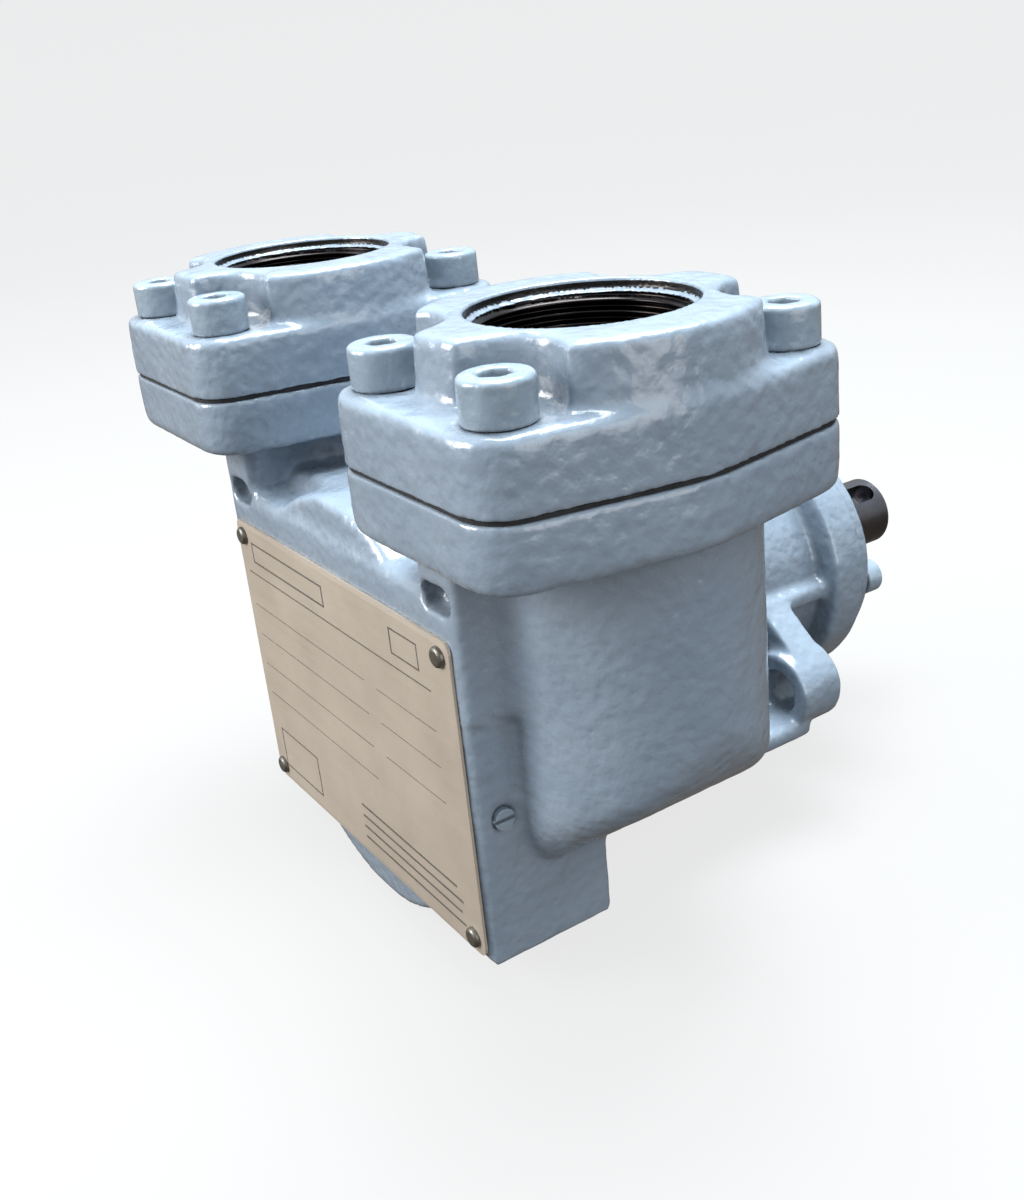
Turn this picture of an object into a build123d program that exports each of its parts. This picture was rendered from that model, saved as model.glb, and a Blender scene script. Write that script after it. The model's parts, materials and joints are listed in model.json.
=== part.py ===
from build123d import *
import math
import os

# Internal gear pump with two flanged ports on top and a shaft out of the back.
# Millimetres. +Z up, +Y along the shaft towards its free end, +X to the outlet side.
# The origin is the middle of the two foot bolt holes, on the plane of the foot soles.

# Main sizes
SHAFT_Z = 43.8
FRONT_Y = -15.7
BACK_Y = 49.5
FRONT_WALL = 10.0

# Front slab, feet and belly of the casing
SLAB_HALF_LOW = 53.6
SLAB_HALF_HIGH = 56.0
SLAB_TOP_Z = 85.0
SLAB_BACK_Y = 4.0
SLAB_EDGE_R = 3.0
FOOT_INNER_X = 22.0
FOOT_BACK_Y = 16.9
FOOT_TOP_Z = 19.0
FOOT_BOLT_X = 40.0
FOOT_BOLT_R = 3.4
FOOT_BOLT_DEPTH = 12.0
BELLY_R = 50.5
BELLY_Z = 42.0
BELLY_PAD_HALF = 13.0
BELLY_PAD_Z = BELLY_Z - BELLY_R - 0.6

# Port columns and flanges
PORT_X = 60.0
PORT_Y = 16.1
COLUMN_Y = 22.5
COLUMN_R = 27.0
ELBOW_Z = 58.6
LOWER_EDGE_R = 8.0
PILASTER_INNER_X = 41.0
NICHE_X = 48.0
NICHE_Z = 84.0
NICHE_LONG = 11.0
NICHE_TALL = 6.0
NICHE_DEPTH = 5.0
PASSAGE_R = 16.0
DUCT_R = 13.0
DUCT_Z = 54.0
FLANGE_BOTTOM_Z = 97.0
JOINT_Z = 110.6
GASKET_T = 0.8
LEDGE_Z = 125.5
HUB_TOP_Z = 137.3
EAR_R = 9.9
FLANGE_R = 34.6
HUB_TOP_R = 33.0
BOLT_DX = 38.4
BOLT_DY = 63.5
SCALLOP_R = 11.6
THREAD_MINOR_R = 19.48
THREAD_MAJOR_R = 20.96
MOUTH_R = 22.0
MOUTH_DEPTH = 2.2
GASKET_BORE_R = 20.5

# Nameplate
PLATE_W = 105.0
PLATE_H = 74.0
PLATE_T = 0.8
PLATE_BOTTOM_Z = 2.2
RIVET_INSET = 3.8
RIVET_R = 1.4
RIVET_HEAD_R = 2.3

# Pumping gears: the rotor's round-nosed fingers run in the idler's tooth spaces
FINGERS = 12
IDLER_TEETH = 9
ECCENTRIC = 7.0
FINGER_R = 4.0
FINGER_STEM_W = 7.2
FINGER_PITCH_R = 4 * ECCENTRIC
ROTOR_R = 35.9
CHAMBER_R = 36.05
IDLER_R = 24.0
GEAR_CLEARANCE = 0.25
IDLER_Z = SHAFT_Z - ECCENTRIC
PIN_R = 7.0
IDLER_BUSH_R = 10.0
CRESCENT_GAP = 0.2
CRESCENT_CUT_Z = SHAFT_Z + 10.0

# Places along the shaft, from the front
CHAMBER_Y = FRONT_Y + FRONT_WALL
WEAR_PLATE_BACK_Y = CHAMBER_Y + 5.0
GEARS_Y = WEAR_PLATE_BACK_Y + 0.15
ROTOR_DISC_Y = 31.5
ROTOR_DISC_BACK_Y = 38.5
SPIGOT_Y = 38.7
HUB_BACK_Y = 46.5
HUB_POCKET_Y = 47.0
SHAFT_BUSH_Y = 47.5
SHAFT_BUSH_BACK_Y = 66.0
BRACKET_FLANGE_BACK_Y = 57.5
SEAL_SEAT_Y = 67.7
SEAL_FACE_Y = 73.5
SEAL_RING_BACK_Y = 79.7
COLLAR_Y = 89.5
COLLAR_BACK_Y = 95.3
BEARING_Y = 96.5
BEARING_BACK_Y = 110.5
DISC_Y = 107.5
DISC_BACK_Y = 118.0
COVER_BACK_Y = 123.0
SHAFT_STEP_Y = 125.5
SHAFT_END_Y = 155.5

# Radii about the shaft
ROTOR_SEAT_R = 8.0
JOURNAL_R = 10.0
SHAFT_END_R = 9.5
ROTOR_HUB_R = 13.0
SHAFT_BUSH_R = 13.0
SEAL_CAVITY_R = 18.0
BEARING_R = 23.5
BARREL_R = 27.5
BRACKET_FLANGE_R = 47.0
DISC_R = 34.6
COVER_R = 31.5
RUNNING_GAP = 0.04
SHAFT_KEYWAY_W = 6.0
SHAFT_KEYWAY_L = 24.0
SHAFT_KEYWAY_DEPTH = 3.5
SHAFT_KEYWAY_TURN = 30.0

# Ball bearing 20 x 47 x 14
BALLS = 8
BALL_R = 3.96
BALL_PITCH_R = 16.75

# Mounting lugs of the bearing bracket
LUG_X = 38.0
LUG_Z = 24.5
LUG_R = 10.0
LUG_HOLE_R = 5.5
LUG_Y = 82.5
LUG_BACK_Y = 95.5
RIB_HALF_X = 31.0
RIB_TOP_Z = 44.8
RIB_BOTTOM_Z = 39.4

# Screws: shank radius, head radius, head height, hexagon across flats
M8 = (3.95, 6.5, 8.0, 6.0)
M6 = (2.95, 5.0, 6.0, 5.0)
M5 = (2.45, 4.25, 5.0, 4.0)
M4_SET_R = 1.95
BRACKET_SCREW_R = 42.0
COVER_SCREW_R = 27.6
COVER_SCREW_TURN = -9.0
SOCKET_TURNS = (8, 24, 41, 15)
PLUG_Y = -9.3
PLUG_Z = 35.0
PLUG_R = 2.45
PLUG_LENGTH = 8.0
PLUG_PROUD = 0.5
PLUG_SLOT_HALF = 0.4
CHANNEL_R = 2.0

# Holes and tapped holes for the screws and dowels
PORT_TAP_R = 4.0
PORT_TAP_DEPTH = 12.25
PORT_HOLE_R = 4.5
PORT_SCREW_LENGTH = 26.5
BRACKET_TAP_R = 3.0
BRACKET_TAP_DEPTH = 14.0
BRACKET_HOLE_R = 3.3
DOWEL_HOLE_R = 2.5
DOWEL_R = 2.47
DOWEL_DEPTH = 8.0
CRESCENT_SCREW_R = 30.0
CRESCENT_TAP_R = 2.5
CRESCENT_HOLE_R = 2.55
CRESCENT_SINK_R = 5.0
COVER_TAP_R = 2.5
COVER_TAP_DEPTH = 9.0
COVER_HOLE_R = 2.8
SHAFT_TAP_R = 3.0
SHAFT_TAP_DEPTH = 14.0

# Rotor key, seals and the rings of the ball bearing
KEY_HALF = 2.5
SEAL_RING_R = 15.2
LIP_SEAL_R = 15.0
COVER_BORE_R = 12.5
OUTER_RACE_R = 19.4
INNER_RACE_R = 14.1
CAGE_OUTER_R = 17.9
CAGE_INNER_R = 15.6
FIT_GAP = 0.05


def plate_y(profile, y_front, y_back):
    """An X-Z profile made solid from one Y to another."""
    plane = Plane(origin=(0, y_back, 0), x_dir=(1, 0, 0), z_dir=(0, -1, 0))
    return extrude(plane * profile, amount=y_back - y_front)


def plate_z(profile, z_low, z_high):
    """An X-Y profile made solid from one Z to another."""
    return extrude(Plane.XY.offset(z_low) * profile, amount=z_high - z_low)


def rod_y(radius, y_front, y_back, x=0.0, z=SHAFT_Z):
    return plate_y(Pos(x, z) * Circle(radius), y_front, y_back)


def ring_y(outer, inner, y_front, y_back, x=0.0, z=SHAFT_Z):
    return plate_y(Pos(x, z) * (Circle(outer) - Circle(inner)), y_front, y_back)


def rod_z(radius, z_low, z_high, x=0.0, y=0.0):
    return plate_z(Pos(x, y) * Circle(radius), z_low, z_high)


def rod_x(radius, x_low, x_high, y, z):
    plane = Plane(origin=(x_low, y, z), x_dir=(0, 1, 0), z_dir=(1, 0, 0))
    return extrude(plane * Circle(radius), amount=x_high - x_low)


def box(low, high):
    size = [b - a for a, b in zip(low, high)]
    return Pos(*low) * Box(*size, align=(Align.MIN, Align.MIN, Align.MIN))


def hull(*faces):
    return make_hull([edge for face in faces for edge in face.edges()])


def at_angle(radius, degrees):
    angle = math.radians(degrees)
    return radius * math.cos(angle), SHAFT_Z + radius * math.sin(angle)


def cap_screw(size, length):
    """Socket head cap screw along +Z, its head standing on Z = 0."""
    shank_r, head_r, head_h, across = size
    head = Cylinder(head_r, head_h, align=(Align.CENTER, Align.CENTER, Align.MIN))
    head = chamfer(head.edges().sort_by(Axis.Z)[-1], 0.6)
    shank = Pos(0, 0, -length) * Cylinder(shank_r, length, align=(Align.CENTER, Align.CENTER, Align.MIN))
    socket = Plane.XY.offset(head_h * 0.45) * RegularPolygon(across / math.sqrt(3), 6)
    return head + shank - extrude(socket, amount=head_h)


def screw_from_back(size, length, x, y, z):
    """Cap screw along Y whose head stands behind the plane at y."""
    return Pos(x, y, z) * Rot(-90, 0, 0) * cap_screw(size, length)


def flat_screw(shank_r, head_r, length):
    """Countersunk screw along +Z, its flat head flush with Z = 0."""
    cone_h = head_r - shank_r
    screw = Pos(0, 0, -cone_h) * Cone(shank_r, head_r, cone_h, align=(Align.CENTER, Align.CENTER, Align.MIN))
    screw += Pos(0, 0, -length) * Cylinder(shank_r, length, align=(Align.CENTER, Align.CENTER, Align.MIN))
    socket = Plane.XY.offset(-1.6) * RegularPolygon(1.7, 6)
    return screw - extrude(socket, amount=3)


def port_bolts():
    return [(sx * BOLT_DX / 2, sy * BOLT_DY / 2) for sx in (-1, 1) for sy in (-1, 1)]


def flange_outline(grow=0.0):
    """Four bolt ears drawn tight around the port, about the port's own axis."""
    ears = [Pos(x, y) * Circle(EAR_R + grow) for x, y in port_bolts()]
    return hull(Circle(FLANGE_R + grow), *ears)


def slab_profile():
    return Polygon(
        (-SLAB_HALF_LOW, 0), (SLAB_HALF_LOW, 0),
        (SLAB_HALF_HIGH, SLAB_TOP_Z), (-SLAB_HALF_HIGH, SLAB_TOP_Z), align=None,
    )


def front_slab():
    slab = plate_y(slab_profile(), FRONT_Y, SLAB_BACK_Y)
    return fillet(slab.faces().sort_by(Axis.Y)[0].edges(), SLAB_EDGE_R)


def foot(side):
    inner = side * FOOT_INNER_X
    outer = side * SLAB_HALF_LOW
    low_x, high_x = min(inner, outer), max(inner, outer)
    block = box((low_x, FRONT_Y + 1, 0), (high_x, FOOT_BACK_Y, FOOT_TOP_Z))
    back_corner = block.edges().filter_by(Axis.Z).sort_by(Axis.Y)[-2:]
    return fillet(back_corner, 1.5)


def column(side):
    """Round column joined by soft corners to the pilaster in front of it."""
    pilaster = Rectangle(
        SLAB_HALF_HIGH - PILASTER_INNER_X, COLUMN_Y - FRONT_Y - 8, align=(Align.MIN, Align.MIN)
    )
    plan = Pos(PORT_X, COLUMN_Y) * Circle(COLUMN_R) + Pos(PILASTER_INNER_X, FRONT_Y) * pilaster
    corners = plan.vertices().filter_by(lambda v: v.Y > FRONT_Y + 1)
    plan = fillet(corners, 6.0)
    front = plan.vertices().filter_by(lambda v: v.Y < FRONT_Y + 1)
    plan = fillet(front, 2.5)
    solid = plate_z(plan, ELBOW_Z, FLANGE_BOTTOM_Z + 2)
    return solid if side > 0 else mirror(solid, Plane.YZ)


def body(side):
    """Half of the main casting: the front outline carried back, rounded in plan at the column."""
    outline = hull(Pos(0, BELLY_Z) * Circle(BELLY_R), Pos(PORT_X, ELBOW_Z) * Circle(COLUMN_R))
    middle = Rectangle(PORT_X, 2 * COLUMN_R, align=(Align.MIN, Align.CENTER))
    plan = Pos(PORT_X, COLUMN_Y) * Circle(COLUMN_R) + Pos(0, COLUMN_Y) * middle
    prism = plate_z(plan, BELLY_PAD_Z - 5, ELBOW_Z + COLUMN_R + 10)
    solid = plate_y(outline, FRONT_Y, BACK_Y + 5) & prism
    lower = solid.edges().filter_by(lambda e: e.center().Z < ELBOW_Z and e.center().X > 30)
    solid = fillet(lower, LOWER_EDGE_R)
    return solid if side > 0 else mirror(solid, Plane.YZ)


def niche(side):
    """Cast pocket in the foot of a pilaster."""
    slot = Pos(side * NICHE_X, NICHE_Z) * SlotOverall(NICHE_LONG, NICHE_TALL)
    return plate_y(slot, FRONT_Y - 1, FRONT_Y + NICHE_DEPTH)


def bottom_pad(low_y, high_y):
    """Flat strip under a casting, on which the pump stands when it isn't bolted down."""
    return box((-BELLY_PAD_HALF, low_y, BELLY_PAD_Z), (BELLY_PAD_HALF, high_y, BELLY_PAD_Z + 8))


def casting_outside():
    solid = rod_y(BELLY_R, FRONT_Y + 1.5, BACK_Y, 0, BELLY_Z)
    for side in (-1, 1):
        solid += body(side)
    solid += bottom_pad(FRONT_Y + 8, BACK_Y)
    solid += front_slab()
    for side in (-1, 1):
        solid += foot(side)
        solid += column(side)
        flange = plate_z(flange_outline(), FLANGE_BOTTOM_Z, JOINT_Z)
        flange = fillet(flange.edges().group_by(Axis.Z)[0], 2.0)
        solid += Pos(side * PORT_X, PORT_Y, 0) * flange
    return solid


def pump_casing():
    solid = casting_outside()
    for side in (-1, 1):
        solid -= niche(side)
        solid -= rod_z(PASSAGE_R, DUCT_Z, JOINT_Z + 1, side * PORT_X, PORT_Y)
        solid -= Pos(side * PORT_X, PORT_Y, DUCT_Z) * Sphere(PASSAGE_R)
        low_x, high_x = sorted((side * PORT_X, side * 20))
        solid -= rod_x(DUCT_R, low_x, high_x, PORT_Y, DUCT_Z)
        for x, y in port_bolts():
            solid -= rod_z(PORT_TAP_R, JOINT_Z - PORT_TAP_DEPTH, JOINT_Z + 1, side * PORT_X + x, PORT_Y + y)
        solid -= rod_z(FOOT_BOLT_R, -1, FOOT_BOLT_DEPTH, side * FOOT_BOLT_X, 0)
    solid -= rod_y(CHAMBER_R, CHAMBER_Y, BACK_Y + 1)
    solid -= rod_y(PIN_R + 0.02, FRONT_Y + 3, CHAMBER_Y + 1, 0, IDLER_Z)
    for x, z in crescent_screw_places():
        solid -= rod_y(CRESCENT_TAP_R, CHAMBER_Y - 7.5, CHAMBER_Y + 1, x, z)
    for x, z in bracket_screw_places():
        solid -= rod_y(BRACKET_TAP_R, BACK_Y - BRACKET_TAP_DEPTH, BACK_Y + 1, x, z)
    for x, z in dowel_places():
        solid -= rod_y(DOWEL_HOLE_R, BACK_Y - DOWEL_DEPTH, BACK_Y + 1, x, z)
    for x, z in rivet_places():
        solid -= rod_y(RIVET_R + FIT_GAP, FRONT_Y - 1, FRONT_Y + 5, x, z)
    solid -= rod_x(CHANNEL_R, PIN_R - 1, SLAB_HALF_HIGH, PLUG_Y, PLUG_Z)
    plug_in = SLAB_HALF_LOW - PLUG_LENGTH
    solid -= rod_x(PLUG_R + FIT_GAP, plug_in, SLAB_HALF_HIGH + 2, PLUG_Y, PLUG_Z)
    return solid


def rivet_places():
    dx = PLATE_W / 2 - RIVET_INSET
    low_z = PLATE_BOTTOM_Z + RIVET_INSET
    high_z = PLATE_BOTTOM_Z + PLATE_H - RIVET_INSET
    return [(x, z) for x in (-dx, dx) for z in (low_z, high_z)]


def crescent_screw_places():
    return [at_angle(CRESCENT_SCREW_R, degrees) for degrees in (30, 150, 270)]


def bracket_screw_places():
    return [at_angle(BRACKET_SCREW_R, 60 * i) for i in range(6)]


def dowel_places():
    return [at_angle(BRACKET_SCREW_R, degrees) for degrees in (30, 210)]


def cover_screw_places():
    return [at_angle(COVER_SCREW_R, COVER_SCREW_TURN + 90 * i) for i in range(4)]


def nameplate():
    outline = RectangleRounded(PLATE_W, PLATE_H, 1.0)
    plate = plate_y(Pos(0, PLATE_BOTTOM_Z + PLATE_H / 2) * outline, FRONT_Y - PLATE_T, FRONT_Y)
    for x, z in rivet_places():
        plate -= rod_y(RIVET_R + FIT_GAP, FRONT_Y - 2, FRONT_Y + 1, x, z)
    return plate


def nameplate_rivets():
    rivets = []
    for x, z in rivet_places():
        face_y = FRONT_Y - PLATE_T
        shank = rod_y(RIVET_R, face_y - 0.2, FRONT_Y + 4.5, x, z)
        head = rod_y(RIVET_HEAD_R, face_y - 1.2, face_y, x, z)
        head = fillet(head.edges().sort_by(Axis.Y)[0], 0.9)
        rivets.append(head + shank)
    return Compound(children=rivets)


def port_flange(side):
    """Screwed-on port flange: a pipe thread hub cut away round the four screw heads."""
    base_z = JOINT_Z + GASKET_T
    base = plate_z(flange_outline(), base_z, LEDGE_Z)
    base = fillet(base.edges().group_by(Axis.Z)[-1], 1.6)
    hub = Pos(0, 0, base_z) * Cone(
        FLANGE_R, HUB_TOP_R, HUB_TOP_Z - base_z, align=(Align.CENTER, Align.CENTER, Align.MIN)
    )
    for x, y in port_bolts():
        hub -= rod_z(SCALLOP_R, LEDGE_Z, HUB_TOP_Z + 1, x, y)
    solid = base + hub
    solid -= rod_z(THREAD_MINOR_R, base_z - 1, HUB_TOP_Z + 1)
    step_z = HUB_TOP_Z - MOUTH_DEPTH
    solid -= rod_z(MOUTH_R, step_z, HUB_TOP_Z + 1)
    solid -= Pos(0, 0, step_z) * Cone(
        THREAD_MINOR_R, THREAD_MAJOR_R, 0.9, align=(Align.CENTER, Align.CENTER, Align.MAX)
    )
    for x, y in port_bolts():
        solid -= rod_z(PORT_HOLE_R, base_z - 1, HUB_TOP_Z, x, y)
    return Pos(side * PORT_X, PORT_Y, 0) * solid


def port_gasket(side):
    sheet = flange_outline(-0.7) - Circle(GASKET_BORE_R)
    for x, y in port_bolts():
        sheet -= Pos(x, y) * Circle(PORT_HOLE_R)
    return Pos(side * PORT_X, PORT_Y, 0) * plate_z(sheet, JOINT_Z, JOINT_Z + GASKET_T)


def port_screws(side):
    screw = cap_screw(M8, PORT_SCREW_LENGTH)
    screws = []
    for (x, y), turn in zip(port_bolts(), SOCKET_TURNS):
        screws.append(Pos(side * PORT_X + x, PORT_Y + y, LEDGE_Z) * Rot(0, 0, turn) * screw)
    return Compound(children=screws)


def crescent_plate():
    """Wear plate on the front wall with the crescent that parts the two gears."""
    plate = rod_y(CHAMBER_R - 0.1, CHAMBER_Y, WEAR_PLATE_BACK_Y)
    tip_r = FINGER_PITCH_R - FINGER_R - CRESCENT_GAP
    moon = Pos(0, SHAFT_Z) * Circle(tip_r) - Pos(0, IDLER_Z) * Circle(IDLER_R + CRESCENT_GAP)
    moon &= Pos(0, CRESCENT_CUT_Z) * Rectangle(100, 60, align=(Align.CENTER, Align.MIN))
    plate += plate_y(moon, WEAR_PLATE_BACK_Y - 1, ROTOR_DISC_Y - 0.3)
    plate -= rod_y(PIN_R + 0.02, CHAMBER_Y - 1, WEAR_PLATE_BACK_Y + 1, 0, IDLER_Z)
    for x, z in crescent_screw_places():
        plate -= rod_y(CRESCENT_HOLE_R, CHAMBER_Y - 1, WEAR_PLATE_BACK_Y + 1, x, z)
        depth = CRESCENT_SINK_R - CRESCENT_HOLE_R
        sink = Cone(CRESCENT_HOLE_R, CRESCENT_SINK_R, depth, align=(Align.CENTER, Align.CENTER, Align.MAX))
        plate -= Pos(x, WEAR_PLATE_BACK_Y, z) * Rot(-90, 0, 0) * sink
    return plate


def crescent_plate_screws():
    screw = flat_screw(2.45, 4.8, 11.5)
    return Compound(children=[
        Pos(x, WEAR_PLATE_BACK_Y - 0.1, z) * Rot(-90, 0, 0) * screw for x, z in crescent_screw_places()
    ])


def idler_pin():
    pin = rod_y(PIN_R, FRONT_Y + 3.2, ROTOR_DISC_Y - 0.6, 0, IDLER_Z)
    return chamfer(pin.edges().filter_by(GeomType.CIRCLE), 0.5)


def idler_bush():
    return ring_y(IDLER_BUSH_R - 0.01, PIN_R + RUNNING_GAP, GEARS_Y + 0.1, ROTOR_DISC_Y - 0.4, 0, IDLER_Z)


def space_wall(turn, reach):
    """Point beside the path of a finger's centre, seen from the idler, after a turn of the rotor."""
    x = ECCENTRIC * (4 * math.cos(turn / 3) - math.cos(4 * turn / 3))
    y = ECCENTRIC * (4 * math.sin(turn / 3) - math.sin(4 * turn / 3))
    dx = ECCENTRIC * 4 / 3 * (math.sin(4 * turn / 3) - math.sin(turn / 3))
    dy = ECCENTRIC * 4 / 3 * (math.cos(turn / 3) - math.cos(4 * turn / 3))
    size = math.hypot(dx, dy)
    return x - reach * dy / size, y + reach * dx / size


def tooth_space():
    """One idler tooth space: the path of a finger's centre, widened by the finger's radius."""
    reach = FINGER_R + GEAR_CLEARANCE
    root_centre = 3 * ECCENTRIC
    bottom_r = root_centre - reach
    steps = 12
    first_turn = 0.3
    while math.dist(space_wall(first_turn, reach), (root_centre, 0)) < reach:
        first_turn += 0.005
    last_turn = 1.75
    turns = [first_turn + (last_turn - first_turn) * i / steps for i in range(steps + 1)]
    wall = [space_wall(turn, reach) for turn in turns]
    other = [(x, -y) for x, y in wall]
    upper = Spline(*[Vector(x, y) for x, y in wall])
    lower = Spline(*[Vector(x, y) for x, y in other])
    root = ThreePointArc(wall[0], (bottom_r, 0), other[0])
    outside = [(IDLER_R + 4, wall[-1][1]), (IDLER_R + 4, other[-1][1])]
    mouth = Polyline(wall[-1], *outside, other[-1])
    return make_face([root, upper, *mouth.edges(), lower])


def idler_gear():
    profile = Circle(IDLER_R) - Circle(IDLER_BUSH_R)
    space = tooth_space()
    for i in range(IDLER_TEETH):
        profile -= Rot(0, 0, -90 + 360 / IDLER_TEETH * i) * space
    return plate_y(Pos(0, IDLER_Z) * profile, GEARS_Y, ROTOR_DISC_Y - 0.3)


def rotor():
    """Driven outer gear: a disc with twelve fingers forward and a hub behind."""
    solid = rod_y(ROTOR_R, ROTOR_DISC_Y, ROTOR_DISC_BACK_Y)
    solid += rod_y(ROTOR_HUB_R, ROTOR_DISC_BACK_Y, HUB_BACK_Y)
    stem = Rectangle(ROTOR_R, FINGER_STEM_W, align=(Align.MIN, Align.CENTER))
    finger = Pos(FINGER_PITCH_R, 0) * (Circle(FINGER_R) + stem)
    crown = Sketch()
    for i in range(FINGERS):
        crown += Rot(0, 0, -90 + 360 / FINGERS * i) * finger
    crown &= Circle(ROTOR_R)
    solid += plate_y(Pos(0, SHAFT_Z) * crown, GEARS_Y + 0.05, ROTOR_DISC_Y)
    solid -= rod_y(ROTOR_SEAT_R + 0.02, ROTOR_DISC_Y + 3, HUB_BACK_Y + 1)
    solid -= rod_y(3.05, ROTOR_DISC_Y - 1, ROTOR_DISC_Y + 4)
    sink = Cone(3.05, 5.7, 2.65, align=(Align.CENTER, Align.CENTER, Align.MAX))
    solid -= Pos(0, ROTOR_DISC_Y, SHAFT_Z) * Rot(90, 0, 0) * sink
    key_room = box(
        (-2.52, ROTOR_DISC_Y + 3, SHAFT_Z), (2.52, HUB_BACK_Y + 1, SHAFT_Z + ROTOR_SEAT_R + 2.6)
    )
    return solid - key_room


def rotor_key():
    return box(
        (-KEY_HALF, ROTOR_DISC_Y + 4, SHAFT_Z + ROTOR_SEAT_R - KEY_HALF),
        (KEY_HALF, HUB_BACK_Y - 0.5, SHAFT_Z + ROTOR_SEAT_R + KEY_HALF),
    )


def rotor_screw():
    return Pos(0, ROTOR_DISC_Y + 0.1, SHAFT_Z) * Rot(90, 0, 0) * flat_screw(2.95, 5.5, 15.0)


def pump_shaft():
    seat_y = ROTOR_DISC_Y + 3.2
    solid = rod_y(ROTOR_SEAT_R, seat_y, HUB_BACK_Y + 0.2)
    journal = rod_y(JOURNAL_R, HUB_BACK_Y + 0.2, SHAFT_STEP_Y)
    tail = rod_y(SHAFT_END_R, SHAFT_STEP_Y, SHAFT_END_Y)
    tail = chamfer(tail.edges().sort_by(Axis.Y)[-1], 1.0)
    solid += journal + tail
    solid -= ring_y(JOURNAL_R + 1, JOURNAL_R - 0.5, BEARING_BACK_Y + 0.1, BEARING_BACK_Y + 1.4)
    solid -= rod_y(SHAFT_TAP_R, seat_y - 1, seat_y + 13.5)
    solid -= rod_y(SHAFT_TAP_R, SHAFT_END_Y - SHAFT_TAP_DEPTH, SHAFT_END_Y + 1)
    solid -= box(
        (-KEY_HALF, ROTOR_DISC_Y + 4, SHAFT_Z + ROTOR_SEAT_R - KEY_HALF),
        (KEY_HALF, HUB_BACK_Y, SHAFT_Z + ROTOR_SEAT_R + 1),
    )
    slot = Rot(0, 0, 90) * SlotOverall(SHAFT_KEYWAY_L, SHAFT_KEYWAY_W)
    keyway = plate_z(slot, SHAFT_END_R - SHAFT_KEYWAY_DEPTH, SHAFT_END_R + 1)
    keyway_y = SHAFT_END_Y - 3 - SHAFT_KEYWAY_L / 2
    return solid - Pos(0, keyway_y, SHAFT_Z) * Rot(0, SHAFT_KEYWAY_TURN, 0) * keyway


def casing_o_ring():
    return Pos(0, BACK_Y - 5, SHAFT_Z) * Rot(90, 0, 0) * Torus(CHAMBER_R - 1.2, 0.95)


def rib_and_lug(side):
    """Side wing of the bracket, with the arm down to a bolt lug."""
    wing_low, wing_high = sorted((0, side * RIB_HALF_X))
    wing = box((wing_low, BACK_Y + 2, RIB_BOTTOM_Z), (wing_high, DISC_Y + 1, RIB_TOP_Z))
    long_edges = wing.edges().filter_by(Axis.Y).sort_by(Axis.X)
    wing = fillet(long_edges[-2:] if side > 0 else long_edges[:2], 2.2)
    boss = Pos(side * LUG_X, LUG_Z) * Circle(LUG_R)
    shoulder = Pos(side * (RIB_HALF_X - 3), RIB_TOP_Z - 3) * Circle(3)
    root = Pos(side * 8, SHAFT_Z - 18) * Circle(8)
    arm = plate_y(hull(boss, shoulder, root), LUG_Y + 2.5, LUG_BACK_Y - 1.5)
    lug = plate_y(boss, LUG_Y, LUG_BACK_Y)
    shelf_low, shelf_high = sorted((side * 16, side * (LUG_X + 8)))
    shelf = box((shelf_low, BACK_Y + 2, LUG_Z - 11), (shelf_high, LUG_Y + 4, LUG_Z - 5.6))
    outer_edges = shelf.edges().filter_by(Axis.Y).sort_by(Axis.X)
    shelf = fillet(outer_edges[-2:] if side > 0 else outer_edges[:2], 2.2)
    return wing + arm + lug + shelf


def bearing_bracket():
    """Rear casting: spigot, bolted flange, seal housing, bearing housing and two lugs."""
    corners = [Pos(side * LUG_X, 19.5) * Circle(9.5) for side in (-1, 1)]
    flange = hull(Pos(0, SHAFT_Z) * Circle(BRACKET_FLANGE_R), *corners)
    solid = plate_y(flange, BACK_Y, BRACKET_FLANGE_BACK_Y)
    solid += bottom_pad(BACK_Y, BRACKET_FLANGE_BACK_Y)
    solid += rod_y(CHAMBER_R - 0.05, SPIGOT_Y, BACK_Y)
    solid += rod_y(BARREL_R, BRACKET_FLANGE_BACK_Y, DISC_Y + 1)
    for side in (-1, 1):
        solid += rib_and_lug(side)
    disc = rod_y(DISC_R, DISC_Y, DISC_BACK_Y)
    disc = fillet(disc.edges().filter_by(GeomType.CIRCLE), 1.2)
    solid += disc
    solid -= rod_y(ROTOR_HUB_R + 0.6, SPIGOT_Y - 1, HUB_POCKET_Y)
    solid -= rod_y(SHAFT_BUSH_R + 0.02, HUB_POCKET_Y - 1, SEAL_SEAT_Y)
    solid -= rod_y(SEAL_CAVITY_R, SEAL_SEAT_Y - 0.2, BEARING_Y + 1)
    solid -= rod_y(BEARING_R + 0.01, BEARING_Y, DISC_BACK_Y + 1)
    solid -= ring_y(CHAMBER_R + 1, CHAMBER_R - 2.25, BACK_Y - 6.3, BACK_Y - 3.7)
    for side in (-1, 1):
        solid -= rod_y(LUG_HOLE_R, LUG_Y - 1, LUG_BACK_Y + 1, side * LUG_X, LUG_Z)
    for x, z in bracket_screw_places():
        solid -= rod_y(BRACKET_HOLE_R, BACK_Y - 1, BRACKET_FLANGE_BACK_Y + 1, x, z)
    for x, z in dowel_places():
        solid -= rod_y(DOWEL_HOLE_R, BACK_Y - 1, BRACKET_FLANGE_BACK_Y - 2, x, z)
    for x, z in cover_screw_places():
        solid -= rod_y(COVER_TAP_R, DISC_BACK_Y - COVER_TAP_DEPTH, DISC_BACK_Y + 1, x, z)
    return solid


def bracket_screws():
    length = BRACKET_FLANGE_BACK_Y - BACK_Y + 12
    return Compound(children=[
        screw_from_back(M6, length, x, BRACKET_FLANGE_BACK_Y, z) for x, z in bracket_screw_places()
    ])


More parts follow.
